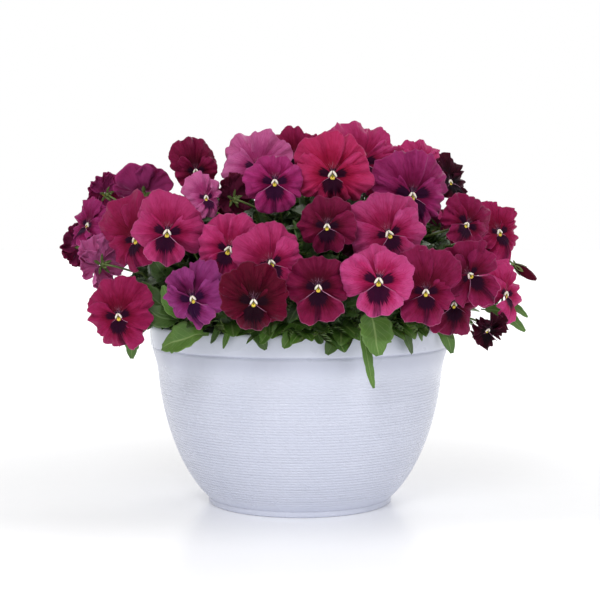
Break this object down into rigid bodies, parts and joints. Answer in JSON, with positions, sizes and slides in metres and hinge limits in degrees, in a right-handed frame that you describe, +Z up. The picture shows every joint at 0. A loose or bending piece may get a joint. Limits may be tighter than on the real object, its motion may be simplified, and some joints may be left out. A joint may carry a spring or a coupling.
{
  "type": "potted pansy planter",
  "caption": "Round flared plastic bowl with a finely ribbed wall, planted with a low dome of flowering pansies in wine, crimson and rose; leaves hang over the lip.",
  "frame": {"origin": "centre of the flat disc under the bowl, where the bowl's axis meets the surface it stands on", "axes": "+Z up along the bowl's axis, -Y towards the front of the planting, +X to the right seen from the front"},
  "size_m": [0.4772, 0.41, 0.3797],
  "materials": {
    "bowl_plastic": "satin moulded plastic, pale lilac-white",
    "potting_mix": "damp peat and bark crumbs, matt",
    "foliage": "living leaf, soft sheen, mid green",
    "petal_wine": "velvety petal, near-black wine",
    "petal_crimson": "velvety petal, crimson",
    "petal_rose": "velvety petal, rose magenta"
  },
  "bodies": {
    "root": {"bloom_back_low_1": "petal_crimson", "bloom_back_low_2": "petal_wine", "bloom_back_low_3": "petal_rose", "bloom_back_low_4": "petal_crimson", "bloom_back_low_5": "petal_wine", "bloom_back_low_6": "petal_crimson", "bloom_back_mid_1": "petal_rose", "bloom_back_mid_2": "petal_crimson", "bloom_back_mid_3": "petal_rose", "bloom_back_mid_4": "petal_wine", "bloom_back_mid_5": "petal_crimson", "bloom_back_top_1": "petal_crimson", "bloom_back_top_2": "petal_crimson", "bloom_front_bright": "petal_rose", "bloom_front_crimson": "petal_crimson", "bloom_front_nodding_back": "petal_wine", "bloom_front_pink": "petal_rose", "bloom_front_purple": "petal_crimson", "bloom_front_rose": "petal_rose", "bloom_front_side_on": "petal_rose", "bloom_front_tall_rose": "petal_rose", "bloom_front_velvet": "petal_wine", "bloom_front_wide": "petal_rose", "bloom_front_wine": "petal_wine", "bloom_front_wine_small": "petal_wine", "bloom_left_crimson": "petal_crimson", "bloom_left_domed_back": "petal_rose", "bloom_left_edge_back": "petal_wine", "bloom_left_pale_back": "petal_rose", "bloom_left_purple": "petal_rose", "bloom_left_red": "petal_wine", "bloom_left_tall_dark": "petal_wine", "bloom_left_thin": "petal_rose", "bloom_right_black": "petal_wine", "bloom_right_cup": "petal_crimson", "bloom_right_magenta": "petal_crimson", "bloom_right_purple": "petal_rose", "bloom_right_ruffled": "petal_crimson", "bloom_right_wine": "petal_wine", "bloom_right_withered": "petal_wine", "bloom_top_crimson": "petal_crimson", "bloom_top_folded": "petal_crimson", "bloom_top_magenta": "petal_crimson", "bloom_top_maroon_back": "petal_wine", "bloom_top_pale": "petal_rose", "bloom_top_rose": "petal_rose", "bloom_top_ruffled": "petal_rose", "bloom_top_small": "petal_crimson", "bowl": "bowl_plastic", "bud_right": "petal_wine", "lip_leaf_front": "foliage", "lip_leaf_left": "foliage", "lip_leaf_narrow": "foliage", "lip_leaf_side": "foliage", "plant_back_left": "foliage", "plant_back_right": "foliage", "plant_centre": "foliage", "plant_front_left": "foliage", "plant_front_right": "foliage", "potting_mix": "potting_mix"}
  },
  "joints": []
}
